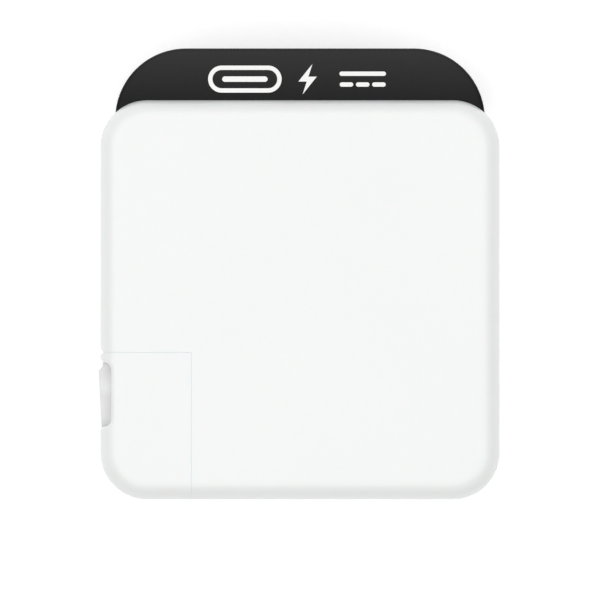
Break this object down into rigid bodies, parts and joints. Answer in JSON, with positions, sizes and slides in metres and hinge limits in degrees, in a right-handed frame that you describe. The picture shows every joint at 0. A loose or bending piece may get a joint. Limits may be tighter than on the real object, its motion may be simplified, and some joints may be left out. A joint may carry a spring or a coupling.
{
  "type": "laptop power adapter",
  "caption": "Square wall power adapter for a laptop, with a slide-off plug module carrying folding flat blades and a small reversible power port in a dark end cap.",
  "frame": {"origin": "centre of the white casing's rear face, on which the adapter rests", "axes": "+Z through the thickness towards the front face, +Y towards the dark cap with the power port, -X towards the side where the blades fold out"},
  "size_m": [0.0745, 0.0835, 0.028],
  "materials": {
    "white_casing": "smooth white polycarbonate, semi-gloss",
    "dark_cap": "fine matt charcoal plastic",
    "port_steel": "drawn stainless shell",
    "contact_plastic": "black moulded insulator",
    "gold_contact": "gold flash",
    "nickel_blade": "satin nickel plating",
    "rotor_plastic": "white moulded plastic",
    "nose_plastic": "white moulded plastic, matt",
    "inlet_plastic": "light grey moulded plastic",
    "stud_steel": "turned steel",
    "spring_bronze": "rolled spring bronze",
    "circuit_board": "green solder mask on glass laminate",
    "chip_epoxy": "black moulding compound",
    "can_aluminium": "drawn aluminium can",
    "sleeve_film": "shrunk plastic sleeve",
    "ferrite": "ground ferrite",
    "copper_wire": "enamelled copper wire",
    "bobbin_plastic": "black phenolic",
    "tape_yellow": "polyester tape",
    "film_capacitor": "potted grey box",
    "fuse_case": "black thermoplastic case",
    "disc_blue": "dipped epoxy, blue",
    "disc_green": "dipped epoxy, green",
    "lead_rubber": "silicone insulated lead",
    "lead_rubber_dark": "silicone insulated lead",
    "spreader_aluminium": "rolled aluminium sheet",
    "film_amber": "polyimide film",
    "pad_grey": "silicone gap pad"
  },
  "bodies": {
    "adapter": {"front_shell": "white_casing", "rear_shell": "white_casing", "port_cap": "dark_cap", "usb_c_shell": "port_steel", "usb_c_tongue": "contact_plastic", "usb_c_contacts": "gold_contact", "port_board": "circuit_board", "port_controller_chip": "chip_epoxy", "board_header": "contact_plastic", "main_board": "circuit_board", "rear_heat_spreader": "spreader_aluminium", "insulation_film": "film_amber", "front_heat_spreader": "spreader_aluminium", "thermal_pad": "pad_grey", "bulk_capacitors": "sleeve_film", "output_capacitors": "can_aluminium", "choke_core": "ferrite", "choke_windings": "copper_wire", "transformer_core_lower": "ferrite", "transformer_core_upper": "ferrite", "transformer_bobbin": "bobbin_plastic", "transformer_winding": "copper_wire", "transformer_tape": "tape_yellow", "fuse": "fuse_case", "varistor": "disc_blue", "x_capacitor": "film_capacitor", "bridge_rectifier": "chip_epoxy", "thermistor": "disc_green", "primary_switch": "chip_epoxy", "controller_chip": "chip_epoxy", "optocoupler": "chip_epoxy", "y_capacitor": "disc_blue", "sync_rectifier": "chip_epoxy", "output_choke": "ferrite", "inlet_housing": "inlet_plastic", "inlet_pins": "nickel_blade", "live_lead": "lead_rubber", "neutral_lead": "lead_rubber_dark", "lock_stud": "stud_steel"},
    "plug_module": {"plug_housing": "white_casing", "plug_base": "nose_plastic", "socket_contacts": "gold_contact", "contact_springs": "spring_bronze", "detent_spring": "stud_steel", "rotor_pin": "stud_steel"},
    "blades": {"front_blade": "nickel_blade", "rear_blade": "nickel_blade", "blade_rotor": "rotor_plastic"}
  },
  "joints": [
    {"name": "plug_slide", "type": "slide", "parent": "adapter", "child": "plug_module", "axis": [0, -1, 0], "range_m": [0, 0.04]},
    {"name": "blade_fold", "type": "hinge", "parent": "plug_module", "child": "blades", "pos_m": [-0.0334, -0.0304, 0.014], "axis": [0, 0, 1], "range_deg": [0, 87.1]}
  ]
}
